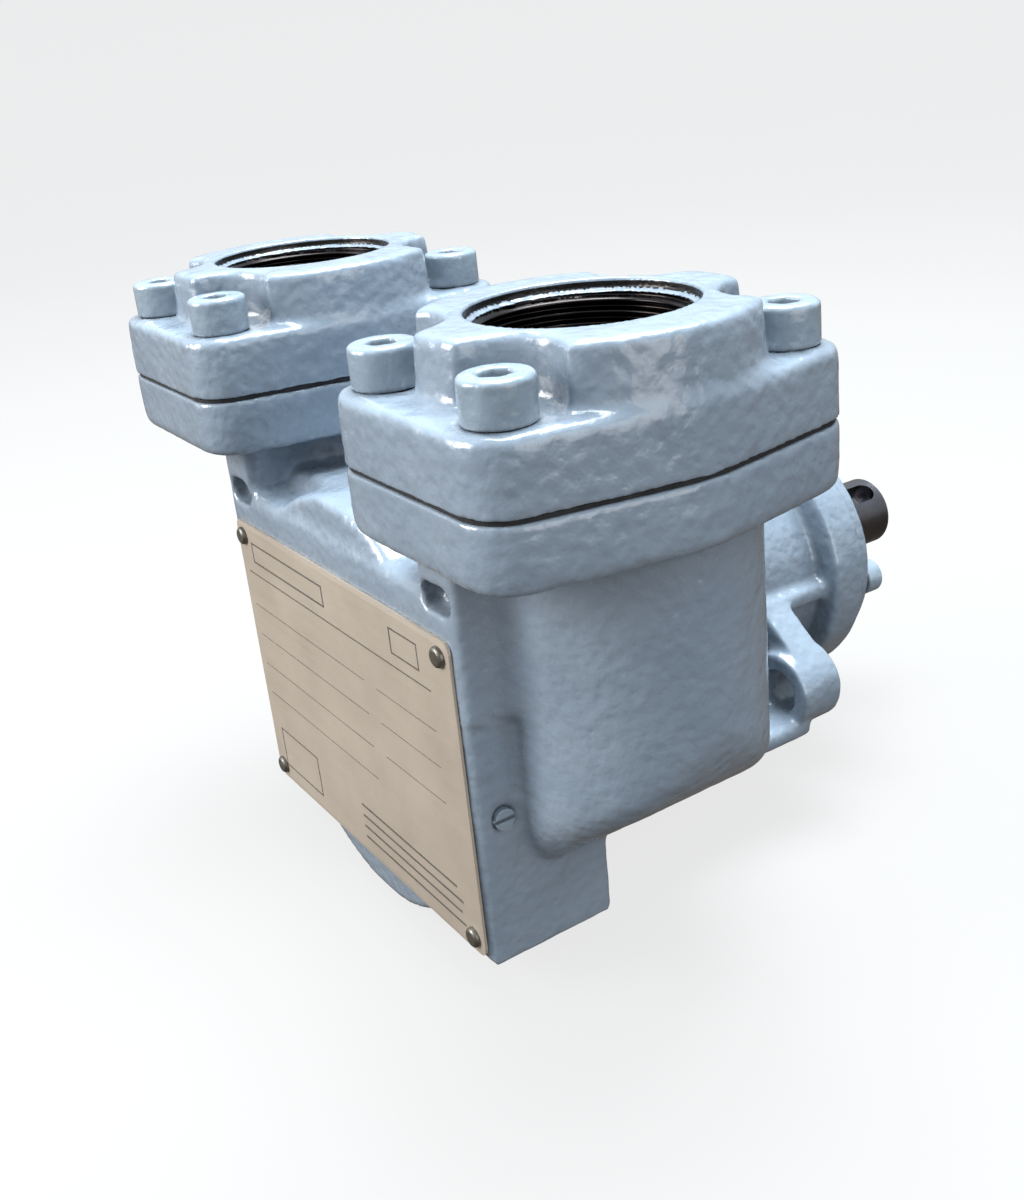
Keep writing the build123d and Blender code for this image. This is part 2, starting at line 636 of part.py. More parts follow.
def dowel_pins():
    return Compound(children=[
        rod_y(DOWEL_R, BACK_Y - DOWEL_DEPTH + 0.5, BRACKET_FLANGE_BACK_Y - 2.5, x, z)
        for x, z in dowel_places()
    ])


def shaft_bush():
    return ring_y(SHAFT_BUSH_R, JOURNAL_R + RUNNING_GAP, SHAFT_BUSH_Y, SHAFT_BUSH_BACK_Y)


def seal_seat():
    seat = ring_y(SEAL_CAVITY_R - 0.03, JOURNAL_R + 0.6, SEAL_SEAT_Y, SEAL_FACE_Y - 0.02)
    return seat - ring_y(SEAL_CAVITY_R + 1, SEAL_CAVITY_R - 2.2, SEAL_SEAT_Y + 1.6, SEAL_SEAT_Y + 4.1)


def seal_seat_o_ring():
    return Pos(0, SEAL_SEAT_Y + 2.85, SHAFT_Z) * Rot(90, 0, 0) * Torus(SEAL_CAVITY_R - 1.12, 1.0)


def seal_ring():
    ring = ring_y(SEAL_RING_R, JOURNAL_R + FIT_GAP, SEAL_FACE_Y + 0.02, SEAL_RING_BACK_Y)
    ring -= ring_y(17, 14.0, SEAL_FACE_Y, SEAL_FACE_Y + 1.2)
    return ring - ring_y(JOURNAL_R + 2.1, JOURNAL_R - 1, SEAL_RING_BACK_Y - 3.2, SEAL_RING_BACK_Y - 0.8)


def seal_ring_o_ring():
    return Pos(0, SEAL_RING_BACK_Y - 2.0, SHAFT_Z) * Rot(90, 0, 0) * Torus(JOURNAL_R + 1.03, 0.95)


def seal_spring():
    wire_r = 0.6
    height = COLLAR_Y - SEAL_RING_BACK_Y - 2 * wire_r - 0.1
    path = Helix(pitch=height / 4, height=height, radius=12.6)
    section = Plane(origin=path @ 0, z_dir=path % 0) * Circle(wire_r)
    coil = sweep(section, path=path)
    return Pos(0, SEAL_RING_BACK_Y + wire_r + 0.05, SHAFT_Z) * Rot(-90, 0, 0) * coil


def seal_collar():
    collar = ring_y(SEAL_RING_R, JOURNAL_R + 0.03, COLLAR_Y, COLLAR_BACK_Y)
    middle_y = (COLLAR_Y + COLLAR_BACK_Y) / 2
    return collar - rod_x(M4_SET_R + FIT_GAP, -16, 16, middle_y, SHAFT_Z)


def collar_set_screws():
    middle_y = (COLLAR_Y + COLLAR_BACK_Y) / 2
    screws = []
    for side in (-1, 1):
        low_x, high_x = sorted((side * (JOURNAL_R + 0.03), side * 15.0))
        screw = rod_x(M4_SET_R, low_x, high_x, middle_y, SHAFT_Z)
        low_x, high_x = sorted((side * 13.4, side * 16))
        screws.append(screw - rod_x(1.0, low_x, high_x, middle_y, SHAFT_Z))
    return Compound(children=screws)


def ball_track():
    middle_y = (BEARING_Y + BEARING_BACK_Y) / 2
    return Pos(0, middle_y, SHAFT_Z) * Rot(90, 0, 0) * Torus(BALL_PITCH_R, BALL_R + 0.06)


def bearing_outer_ring():
    return ring_y(BEARING_R, OUTER_RACE_R, BEARING_Y, BEARING_BACK_Y) - ball_track()


def bearing_inner_ring():
    return ring_y(INNER_RACE_R, JOURNAL_R + 0.01, BEARING_Y, BEARING_BACK_Y) - ball_track()


def ball_places():
    middle_y = (BEARING_Y + BEARING_BACK_Y) / 2
    places = [at_angle(BALL_PITCH_R, 360 / BALLS * (i + 0.5)) for i in range(BALLS)]
    return [(x, middle_y, z) for x, z in places]


def bearing_balls():
    return Compound(children=[Pos(*place) * Sphere(BALL_R) for place in ball_places()])


def bearing_cage():
    cage = ring_y(CAGE_OUTER_R, CAGE_INNER_R, BEARING_Y + 1.8, BEARING_BACK_Y - 1.8)
    middle_y = (BEARING_Y + BEARING_BACK_Y) / 2
    pocket = Pos(BALL_PITCH_R, 0, 0) * Rot(0, 90, 0) * Cylinder(BALL_R + 0.15, 8)
    for i in range(BALLS):
        cage -= Pos(0, middle_y, SHAFT_Z) * Rot(0, -360 / BALLS * (i + 0.5), 0) * pocket
    return cage


def shaft_circlip():
    y = BEARING_BACK_Y + 0.15
    clip = ring_y(JOURNAL_R + 2.0, JOURNAL_R - 0.45, y, y + 1.2)
    return clip - box((-3, y - 1, SHAFT_Z), (3, y + 3, SHAFT_Z + 20))


def bearing_cover():
    solid = rod_y(COVER_R, DISC_BACK_Y, COVER_BACK_Y)
    solid = fillet(solid.edges().sort_by(Axis.Y)[-1], 1.2)
    solid += rod_y(BEARING_R - 0.05, BEARING_BACK_Y + 0.05, DISC_BACK_Y)
    solid -= rod_y(18.0, BEARING_BACK_Y - 1, BEARING_BACK_Y + 4)
    solid -= rod_y(COVER_BORE_R, BEARING_BACK_Y, COVER_BACK_Y + 1)
    solid -= rod_y(LIP_SEAL_R + 0.02, COVER_BACK_Y - 7, COVER_BACK_Y + 1)
    for x, z in cover_screw_places():
        solid -= rod_y(COVER_HOLE_R, DISC_BACK_Y - 1, COVER_BACK_Y + 1, x, z)
    return solid


def bearing_cover_screws():
    length = COVER_BACK_Y - DISC_BACK_Y + 8
    return Compound(children=[
        screw_from_back(M5, length, x, COVER_BACK_Y, z) for x, z in cover_screw_places()
    ])


def shaft_lip_seal():
    seal = ring_y(LIP_SEAL_R, 12.6, COVER_BACK_Y - 6.8, COVER_BACK_Y - 0.3)
    lip = ring_y(12.8, JOURNAL_R + FIT_GAP, COVER_BACK_Y - 2.0, COVER_BACK_Y - 0.3)
    return seal + lip


def side_channel_plug():
    """Slotted screw plug that closes the drilled channel to the idler pin."""
    slab_side = SLAB_HALF_LOW + (SLAB_HALF_HIGH - SLAB_HALF_LOW) * PLUG_Z / SLAB_TOP_Z
    head = slab_side + PLUG_PROUD
    plug = rod_x(PLUG_R, head - PLUG_LENGTH, head, PLUG_Y, PLUG_Z)
    slot = box(
        (head - 1.2, PLUG_Y - 4, PLUG_Z - PLUG_SLOT_HALF), (head + 1, PLUG_Y + 4, PLUG_Z + PLUG_SLOT_HALF)
    )
    return plug - slot


PARTS = {
    "pump_casing": pump_casing,
    "nameplate": nameplate,
    "nameplate_rivets": nameplate_rivets,
    "inlet_flange": lambda: port_flange(-1),
    "outlet_flange": lambda: port_flange(1),
    "inlet_gasket": lambda: port_gasket(-1),
    "outlet_gasket": lambda: port_gasket(1),
    "inlet_flange_screws": lambda: port_screws(-1),
    "outlet_flange_screws": lambda: port_screws(1),
    "crescent_plate": crescent_plate,
    "crescent_plate_screws": crescent_plate_screws,
    "idler_pin": idler_pin,
    "idler_bush": idler_bush,
    "idler_gear": idler_gear,
    "rotor": rotor,
    "rotor_key": rotor_key,
    "rotor_screw": rotor_screw,
    "pump_shaft": pump_shaft,
    "casing_o_ring": casing_o_ring,
    "bearing_bracket": bearing_bracket,
    "bracket_screws": bracket_screws,
    "dowel_pins": dowel_pins,
    "shaft_bush": shaft_bush,
    "seal_seat": seal_seat,
    "seal_seat_o_ring": seal_seat_o_ring,
    "seal_ring": seal_ring,
    "seal_ring_o_ring": seal_ring_o_ring,
    "seal_spring": seal_spring,
    "seal_collar": seal_collar,
    "collar_set_screws": collar_set_screws,
    "bearing_outer_ring": bearing_outer_ring,
    "bearing_inner_ring": bearing_inner_ring,
    "bearing_balls": bearing_balls,
    "bearing_cage": bearing_cage,
    "shaft_circlip": shaft_circlip,
    "bearing_cover": bearing_cover,
    "bearing_cover_screws": bearing_cover_screws,
    "shaft_lip_seal": shaft_lip_seal,
    "side_channel_plug": side_channel_plug,
}


def main():
    os.makedirs("parts", exist_ok=True)
    for name, make in PARTS.items():
        export_step(make(), f"parts/{name}.step")


main()
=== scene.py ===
import json
import math

import bpy
from mathutils import Matrix, Vector, noise
from mathutils.bvhtree import BVHTree


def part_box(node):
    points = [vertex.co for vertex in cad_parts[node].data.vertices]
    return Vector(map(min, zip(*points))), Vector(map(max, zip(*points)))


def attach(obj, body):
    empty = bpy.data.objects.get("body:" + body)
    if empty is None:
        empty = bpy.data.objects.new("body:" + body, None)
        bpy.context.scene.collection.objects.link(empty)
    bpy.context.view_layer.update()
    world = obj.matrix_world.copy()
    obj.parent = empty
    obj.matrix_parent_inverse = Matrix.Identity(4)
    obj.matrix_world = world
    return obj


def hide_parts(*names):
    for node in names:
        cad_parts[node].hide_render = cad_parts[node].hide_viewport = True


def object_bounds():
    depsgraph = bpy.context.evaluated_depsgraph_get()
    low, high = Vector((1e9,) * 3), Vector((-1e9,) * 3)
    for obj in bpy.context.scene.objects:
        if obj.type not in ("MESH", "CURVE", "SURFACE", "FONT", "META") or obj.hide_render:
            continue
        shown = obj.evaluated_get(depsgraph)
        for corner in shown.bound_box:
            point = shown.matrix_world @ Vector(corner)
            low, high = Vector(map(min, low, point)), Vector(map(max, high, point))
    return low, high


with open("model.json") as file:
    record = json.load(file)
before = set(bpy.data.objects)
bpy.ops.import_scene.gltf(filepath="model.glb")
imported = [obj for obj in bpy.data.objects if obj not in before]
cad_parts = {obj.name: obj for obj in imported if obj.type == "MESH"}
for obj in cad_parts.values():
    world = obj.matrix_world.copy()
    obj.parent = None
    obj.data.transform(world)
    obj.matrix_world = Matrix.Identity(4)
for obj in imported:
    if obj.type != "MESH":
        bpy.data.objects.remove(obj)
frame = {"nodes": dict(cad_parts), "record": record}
cad_low, cad_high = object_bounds()
scene = bpy.context.scene
MM = 0.001

# Where the parts lie, in metres in the CAD frame
SHAFT_Z = 0.0438
PORT_X, PORT_Y = 0.060, 0.0161
CHAMBER_R = 0.0372
PASSAGE_R, JOINT_Z, LEDGE_Z, STEP_Z = 0.0168, 0.1108, 0.1255, 0.1351
CHAMBER_FRONT, CASTING_BACK = -0.0065, 0.0497
BORE_R, THREAD_ROOT_R, THREAD_PITCH = 0.01948, 0.02096, 0.002309
DUCT_Z, DUCT_R = 0.054, 0.0135
PASSAGE_LOW_Z, MOUTH_TOP_Z = 0.055, 0.1368
THREAD_WALL_R, MOUTH_WALL_R, MOUTH_RIM_R = 0.0208, 0.0222, 0.0232
LINER_LOW_Z, LINER_HIGH_Z, LINER_BACK_R = 0.1117, 0.1348, 0.0214


# ---------------------------------------------------------------- camera
def look_from(place, azimuth, elevation, roll):
    """The camera's matrix. Azimuth 0 looks along +Y and 90 along -X."""
    a, e, r = map(math.radians, (azimuth, elevation, roll))
    ahead = Vector((-math.sin(a) * math.cos(e), math.cos(a) * math.cos(e), -math.sin(e)))
    right = Vector((math.cos(a), math.sin(a), 0))
    down = ahead.cross(right)
    right, down = right * math.cos(r) + down * math.sin(r), down * math.cos(r) - right * math.sin(r)
    turn = Matrix((right, -down, -ahead)).transposed().to_4x4()
    return Matrix.Translation(place) @ turn


camera = bpy.data.objects.new("camera", bpy.data.cameras.new("camera"))
scene.collection.objects.link(camera)
scene.camera = camera
camera.matrix_world = look_from(Vector((0.2585, -0.12515, 0.18385)), 58.19, 21.58, 5.73)
camera.data.sensor_width = 36
camera.data.lens = 39.994
camera.data.shift_x, camera.data.shift_y = -0.00905, -0.0328
camera.data.clip_start = 0.01


# ---------------------------------------------------------------- materials
class Finish:
    """A node material, with short calls for the nodes that it is made of."""

    def __init__(self, name, colour, roughness, metallic=0.0):
        self.material = bpy.data.materials.new(name)
        self.material.use_nodes = True
        self.tree = self.material.node_tree
        self.shader = self.tree.nodes["Principled BSDF"]
        self.shader.inputs["Base Color"].default_value = (*colour, 1)
        self.shader.inputs["Roughness"].default_value = roughness
        self.shader.inputs["Metallic"].default_value = metallic
        self.place = self.node("ShaderNodeTexCoord").outputs["Object"]
        self.height = None

    def node(self, kind, inputs=None, **settings):
        made = self.tree.nodes.new(kind)
        for key, value in settings.items():
            setattr(made, key, value)
        for key, value in (inputs or {}).items():
            if isinstance(value, bpy.types.NodeSocket):
                self.tree.links.new(value, made.inputs[key])
            else:
                made.inputs[key].default_value = value
        return made

    def stretched(self, x, y, z):
        return self.node("ShaderNodeMapping", {"Vector": self.place, "Scale": (x, y, z)}).outputs[0]

    def noise(self, scale, detail=3.0, rough=0.55, vector=None):
        made = self.node(
            "ShaderNodeTexNoise",
            {"Vector": vector or self.place, "Scale": scale, "Detail": detail, "Roughness": rough},
        )
        return made.outputs["Fac"]

    def cells(self, scale, feature="SMOOTH_F1"):
        made = self.node("ShaderNodeTexVoronoi", {"Vector": self.place, "Scale": scale}, feature=feature)
        return made.outputs["Distance"]

    def span(self, value, low, high, out_low=0.0, out_high=1.0):
        made = self.node(
            "ShaderNodeMapRange",
            {"Value": value, "From Min": low, "From Max": high, "To Min": out_low, "To Max": out_high},
        )
        return made.outputs[0]

    def maths(self, operation, a, b):
        made = self.node("ShaderNodeMath", operation=operation)
        for socket, value in zip(made.inputs, (a, b)):
            if isinstance(value, bpy.types.NodeSocket):
                self.tree.links.new(value, socket)
            else:
                socket.default_value = value
        return made.outputs[0]

    def mix(self, factor, a, b):
        made = self.node("ShaderNodeMix", data_type="RGBA")
        for socket, value in zip((made.inputs[0], made.inputs[6], made.inputs[7]), (factor, a, b)):
            if isinstance(value, bpy.types.NodeSocket):
                self.tree.links.new(value, socket)
            else:
                socket.default_value = (*value, 1) if isinstance(value, tuple) else value
        return made.outputs[2]

    def drive(self, key, value):
        self.tree.links.new(value, self.shader.inputs[key])

    def bump(self, value, distance, strength=1.0):
        """Adds a height to the relief, with distance in metres."""
        inputs = {"Height": value, "Distance": distance, "Strength": strength}
        if self.height is not None:
            inputs["Normal"] = self.height
        self.height = self.node("ShaderNodeBump", inputs).outputs[0]
        self.drive("Normal", self.height)


def paint(name, light, dark, grime_and_shade=0.5):
    """Thick glossy paint over rough iron: soft lumps, orange peel, thin spots, and grime with painted shade
    darkening the hollows.
    """
    f = Finish(name, light, 0.3)
    patches = f.span(f.noise(40, 5, 0.6), 0.25, 0.75)
    mottle = f.span(f.noise(420, 4), 0.25, 0.8, 0.0, 0.2)
    colour = f.mix(patches, light, dark)
    colour = f.mix(mottle, colour, tuple(c * 0.80 for c in light))
    # Grime and painted shade: ambient occlusion darkens the colour in hollows, creases and under overhangs,
    # broken up by noise.
    shade = f.node("ShaderNodeAmbientOcclusion", {"Distance": 0.011}, samples=4).outputs["AO"]
    hollow = f.span(shade, 0.85, 0.35, 0.0, grime_and_shade)
    dirt_and_shade = f.maths("MULTIPLY", hollow, f.span(f.noise(260, 5, 0.65), 0.35, 0.65, 0.45, 1.0))
    colour = f.mix(dirt_and_shade, colour, (0.075, 0.070, 0.066))
    f.drive("Base Color", colour)
    f.drive("Roughness", f.span(f.noise(170, 4), 0.3, 0.7, 0.16, 0.36))
    f.shader.inputs["Coat Weight"].default_value = 0.5
    f.shader.inputs["Coat Roughness"].default_value = 0.09
    f.bump(f.noise(170, 3, 0.5), 0.0011, 0.55)
    f.bump(f.cells(420), 0.0005, 0.55)
    f.bump(f.noise(1500, 2, 0.5), 0.00012, 0.35)
    return f.material


def turned(name, colour, roughness, marks=0.5, axis="Y", tint=0.75):
    """Machined metal: fine tool marks round the axis, a few blotches of oil and slight wear."""
    f = Finish(name, colour, roughness, 1.0)
    along = {"X": (1, 0.02, 0.02), "Y": (0.02, 1, 0.02), "Z": (0.02, 0.02, 1)}[axis]
    rings = f.noise(5200, 2, 0.6, f.stretched(*along))
    blotch = f.span(f.noise(130, 4), 0.38, 0.66)
    f.drive("Base Color", f.mix(blotch, colour, tuple(c * tint for c in colour)))
    f.drive("Roughness", f.span(f.noise(240, 3), 0.3, 0.7, roughness * 0.8, roughness * 1.25))
    f.bump(rings, 0.00006, marks)
    f.bump(f.noise(900, 3), 0.00005, 0.25)
    return f.material


def grained(name, colour, roughness, metallic, scale, depth, tint=0.7):
    """A material with a fine even grain, such as cast iron, carbon, ceramic or rubber."""
    f = Finish(name, colour, roughness, metallic)
    speck = f.span(f.noise(scale, 4, 0.65), 0.35, 0.65)
    f.drive("Base Color", f.mix(speck, colour, tuple(c * tint for c in colour)))
    f.drive("Roughness", f.span(f.noise(scale / 4, 3), 0.3, 0.7, roughness * 0.8, min(1.0, roughness * 1.2)))
    f.bump(f.noise(scale, 3, 0.6), depth, 0.6)
    return f.material


def tan_plate():
    """Thin brushed metal with a warm tan lacquer: a long fine grain, faint stains and small scratches."""
    f = Finish("tan_plate", (0.50, 0.43, 0.35), 0.42, 0.35)
    grain = f.noise(900, 3, 0.6, f.stretched(0.04, 1, 1))
    stain = f.span(f.noise(38, 4, 0.6), 0.35, 0.7)
    colour = f.mix(stain, (0.56, 0.485, 0.40), (0.47, 0.40, 0.33))
    colour = f.mix(f.span(grain, 0.35, 0.65, 0.0, 0.35), colour, (0.40, 0.345, 0.29))
    f.drive("Base Color", colour)
    f.drive("Roughness", f.span(grain, 0.3, 0.7, 0.34, 0.52))
    f.bump(grain, 0.00004, 0.5)
    f.bump(f.noise(60, 3), 0.0006, 0.25)
    return f.material


PAINT = paint("casting_paint", (0.262, 0.318, 0.388), (0.205, 0.258, 0.325))
SCREW_PAINT = paint("screw_paint", (0.275, 0.340, 0.405), (0.225, 0.285, 0.350))
# Bare iron in the bores and chamber: its near-black colour is partly painted shade for the inside of the
# ports.
SHADED_RAW_IRON = grained("raw_iron_shaded", (0.030, 0.027, 0.026), 0.30, 0.7, 700, 0.00025)
# Thread iron: machined iron whose near-black colour is partly painted shade deep in the ports.
SHADED_THREAD_IRON = turned("thread_iron_shaded", (0.026, 0.022, 0.022), 0.22, 0.3, "Z")
GEAR_IRON = grained("gear_iron", (0.22, 0.22, 0.23), 0.38, 0.9, 1500, 0.00006, 0.8)
SHAFT_STEEL = turned("shaft_steel", (0.155, 0.148, 0.162), 0.24, 0.8)
FINISHES = {
    "gasket": grained("gasket_sheet", (0.012, 0.012, 0.014), 0.75, 0.0, 1600, 0.00012),
    "rivets": grained("rivet_steel", (0.20, 0.185, 0.16), 0.42, 0.8, 900, 0.0001),
    "gear_iron": GEAR_IRON,
    "bright_steel": turned("bright_steel", (0.56, 0.56, 0.57), 0.26),
    "bearing_steel": turned("bearing_steel", (0.68, 0.68, 0.69), 0.12, 0.25),
    "cage_steel": turned("cage_steel", (0.50, 0.48, 0.44), 0.33, 0.3),
    "spring_steel": turned("spring_steel", (0.15, 0.14, 0.13), 0.40, 0.3),
    "shaft_steel": SHAFT_STEEL,
    "bronze": turned("bronze", (0.56, 0.36, 0.17), 0.30, 0.5),
    "carbon": grained("carbon", (0.05, 0.05, 0.055), 0.38, 0.0, 2200, 0.00003),
    "ceramic": grained("ceramic", (0.76, 0.74, 0.70), 0.25, 0.0, 2600, 0.00002, 0.92),
    "rubber": grained("nitrile", (0.02, 0.02, 0.02), 0.55, 0.0, 2400, 0.00005),
}
for part in frame["record"]["subparts"]:
    finish = FINISHES.get(part["material_slot"])
    if finish is not None:
        node = frame["nodes"][part["node"]]
        for own in node.material_slots:
            own.material = finish


# ---------------------------------------------------------------- painted castings
def off_axis(p):
    """Distance from the shaft's axis."""
    return math.hypot(p.x, p.z - SHAFT_Z)


def off_port(p):
    """Distance from the nearer port's axis."""
    return math.hypot(abs(p.x) - PORT_X, p.y - PORT_Y)


def pump_room(p):
    """True in the machined chamber, its duct and the bores that the rotating parts need."""
    chamber = off_axis(p) < CHAMBER_R and CHAMBER_FRONT < p.y < CASTING_BACK
    duct = abs(p.x) < PORT_X and abs(p.y - PORT_Y) < DUCT_R and abs(p.z - DUCT_Z) < DUCT_R
    return chamber or duct


def port_bore(p):
    """True on the bare iron in a port, coloured nearly black as painted shade: the passage, the ledge at
    the joint, the thread and the wall of the recess at the mouth."""
    r = off_port(p)
    if p.z > STEP_Z + 0.0003:
        return r < MOUTH_WALL_R and p.z < MOUTH_TOP_Z
    widest = THREAD_WALL_R if p.z > JOINT_Z - 0.0015 else PASSAGE_R
    return r < widest and PASSAGE_LOW_Z < p.z < STEP_Z - 0.0003


def bracket_bore(p):
    return off_axis(p) < 0.0262 and p.y < 0.1085


def port_mouth(p):
    """The turned recess at the mouth of a port and its rim."""
    return off_port(p) < MOUTH_RIM_R and p.z > STEP_Z + 0.0003


def nowhere(p):
    return False


def new_piece(name, mesh, body):
    """An object in the CAD frame that rides on a body."""
    made = bpy.data.objects.new(name, mesh)
    scene.collection.objects.link(made)
    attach(made, body)
    return made


def applied(name, mesh, add):
    """The mesh after the modifiers that add(object) gives it."""
    holder = bpy.data.objects.new(name, mesh)
    scene.collection.objects.link(holder)
    add(holder)
    graph = bpy.context.evaluated_depsgraph_get()
    result = bpy.data.meshes.new_from_object(holder.evaluated_get(graph))
    bpy.data.objects.remove(holder)
    return result


def smooth(holder, turns, group=""):
    made = holder.modifiers.new("soften", "SMOOTH")
    made.factor, made.iterations, made.vertex_group = 0.5, turns, group


def remesh(holder, voxel):
    made = holder.modifiers.new("skin", "REMESH")
    made.mode, made.voxel_size = "VOXEL", voxel * MM


def soften_where(holder, chosen, turns):
    group = holder.vertex_groups.new(name="soft")
    group.add([v.index for v in holder.data.vertices if chosen(v.co)], 1.0, "REPLACE")
    smooth(holder, turns, "soft")


def body_of(node):
    """The CAD body that a node belongs to."""
    for body, nodes in frame["record"]["behaviour"]["bodies"].items():
        if node in nodes:
            return body
    raise KeyError(node)


def skinned(node, name, voxel, lump=0.12, machined=nowhere, bare_shaded=nowhere, material=PAINT, turns=3,
            soft=None, soft_turns=0, grow=0.0):
    """A casting under thick paint: the CAD solid with softened edges and an uneven skin, which stays
    exact where machined(p) is true and shows bare iron on the faces that the mask after it picks,
    coloured nearly black as painted shade for the inside of the bores."""
    source = frame["nodes"][node]
    mesh = applied(name + "_skin", source.data.copy(), lambda o: (remesh(o, voxel), smooth(o, turns)))
    if soft is not None:
        mesh = applied(name + "_soft", mesh, lambda o: soften_where(o, soft, soft_turns))
    solid = BVHTree.FromPolygons(
        [v.co.copy() for v in source.data.vertices], [p.vertices[:] for p in source.data.polygons]
    )
    moved = []
    for vertex in mesh.vertices:
        p = vertex.co
        if machined(p):
            near = solid.find_nearest(p)[0]
            moved.append(near if near is not None else p.copy())
            continue
        uneven = noise.noise(p * 170) * 0.6 + noise.noise(p * 430) * 0.4
        q = p + vertex.normal * (uneven * lump - 0.3 * lump + grow) * MM
        moved.append(Vector([min(max(c, a), b) for c, a, b in zip(q, cad_low, cad_high)]))
    for vertex, place in zip(mesh.vertices, moved):
        vertex.co = place
    mesh.materials.clear()
    mesh.materials.append(material)
    # Second slot: near-black bare iron, painted shade in the bores.
    mesh.materials.append(SHADED_RAW_IRON)
    for face in mesh.polygons:
        face.use_smooth = True
        face.material_index = 1 if bare_shaded(face.center) else 0
    made = new_piece(name, mesh, body_of(node))
    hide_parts(node)
    return made


def inside(p):
    return pump_room(p) or port_bore(p)


def hub_corners(p):
    """The upper edges of a port flange and the corners of its hub, clear of the thread."""
    return p.z > LEDGE_Z - 0.005 and off_port(p) > 0.0245


def casing_corners(p):
    """The lower edges of the casing's flanges, the foot of each pilaster, where it runs into the slab,
    and the saddle between the columns."""
    flange_edge = 0.094 < p.z < 0.103 and off_port(p) > 0.020
    pilaster_foot = abs(p.x) > 0.049 and 0.030 < p.z < 0.072 and -0.012 < p.y < 0.016
    saddle = abs(p.x) < 0.042 and 0.077 < p.z < 0.097
    return flange_edge or pilaster_foot or saddle


def bracket_outside(p):
    return off_axis(p) > 0.029 and p.y > 0.058


skinned("pump_casing", "casing_cast", 0.85, 0.16, pump_room, inside, turns=6,
        soft=casing_corners, soft_turns=30)
for node in ("inlet", "outlet"):
    flange = skinned(node + "_flange", node + "_flange_cast", 0.5, 0.26, port_mouth,
                     port_bore, turns=6, soft=hub_corners, soft_turns=70)
    # The bore's skin goes back behind the thread, which thread_liner makes
    for vertex in flange.data.vertices:
        side = math.copysign(PORT_X, vertex.co.x)
        out = Vector((vertex.co.x - side, vertex.co.y - PORT_Y, 0))
        if out.length < 0.0209 and vertex.co.z < STEP_Z - 0.0004:
            vertex.co += out.normalized() * (0.0212 - out.length)
    skinned(node + "_flange_screws", node + "_screws_painted", 0.34, 0.06,
            material=SCREW_PAINT, turns=3, grow=0.22)
skinned("bearing_bracket", "bracket_cast", 0.65, 0.16, bracket_bore, bracket_bore,
        turns=4, soft=bracket_outside, soft_turns=10)
skinned("bearing_cover", "cover_cast", 0.5, 0.10, lambda p: off_axis(p) < 0.0165)
skinned("bracket_screws", "bracket_screws_painted", 0.32, 0.05,
        material=SCREW_PAINT, turns=2, grow=0.15)
skinned("bearing_cover_screws", "cover_screws_painted", 0.28, 0.05,
        material=SCREW_PAINT, turns=2, grow=0.15)
skinned("side_channel_plug", "plug_painted", 0.16, 0.03, material=SCREW_PAINT, turns=2)


# ---------------------------------------------------------------- pipe threads
def thread_liner(name, x):
    """The threaded wall of a port: one right-hand helix with rounded crests and roots."""
    start, end, around, steps = LINER_LOW_Z, LINER_HIGH_Z, 128, 160
    rings = []
    for i in range(steps + 1):
        z = start + (end - start) * i / steps
        ring = []
        for j in range(around):
            turn = j / around
            phase = ((z - start) / THREAD_PITCH - turn) % 1.0
            rise = min(max((abs(phase - 0.5) - 0.08) / 0.34, 0.0), 1.0)
            rise = rise * rise * (3 - 2 * rise) * min(1.0, (end - z) / 0.0012)
            r = THREAD_ROOT_R - (THREAD_ROOT_R - BORE_R) * rise
            ring.append((x + r * math.cos(turn * math.tau), PORT_Y + r * math.sin(turn * math.tau), z))
        rings.append(ring)
    for z in (end, start):
        ring = []
        for j in range(around):
            turn = j / around * math.tau
            ring.append((x + LINER_BACK_R * math.cos(turn), PORT_Y + LINER_BACK_R * math.sin(turn), z))
        rings.append(ring)
    points = [p for ring in rings for p in ring]
    faces = []
    for i in range(len(rings)):
        lower, upper = i * around, (i + 1) % len(rings) * around
        for j in range(around):
            k = (j + 1) % around
            faces.append((lower + k, lower + j, upper + j, upper + k))
    mesh = bpy.data.meshes.new(name)
    mesh.from_pydata(points, [], faces)
    # The thread's near-black iron also paints the shade inside the port.
    mesh.materials.append(SHADED_THREAD_IRON)
    for face in mesh.polygons:
        face.use_smooth = True
    return new_piece(name, mesh, "housing")


thread_liner("inlet_thread", -PORT_X)
thread_liner("outlet_thread", PORT_X)


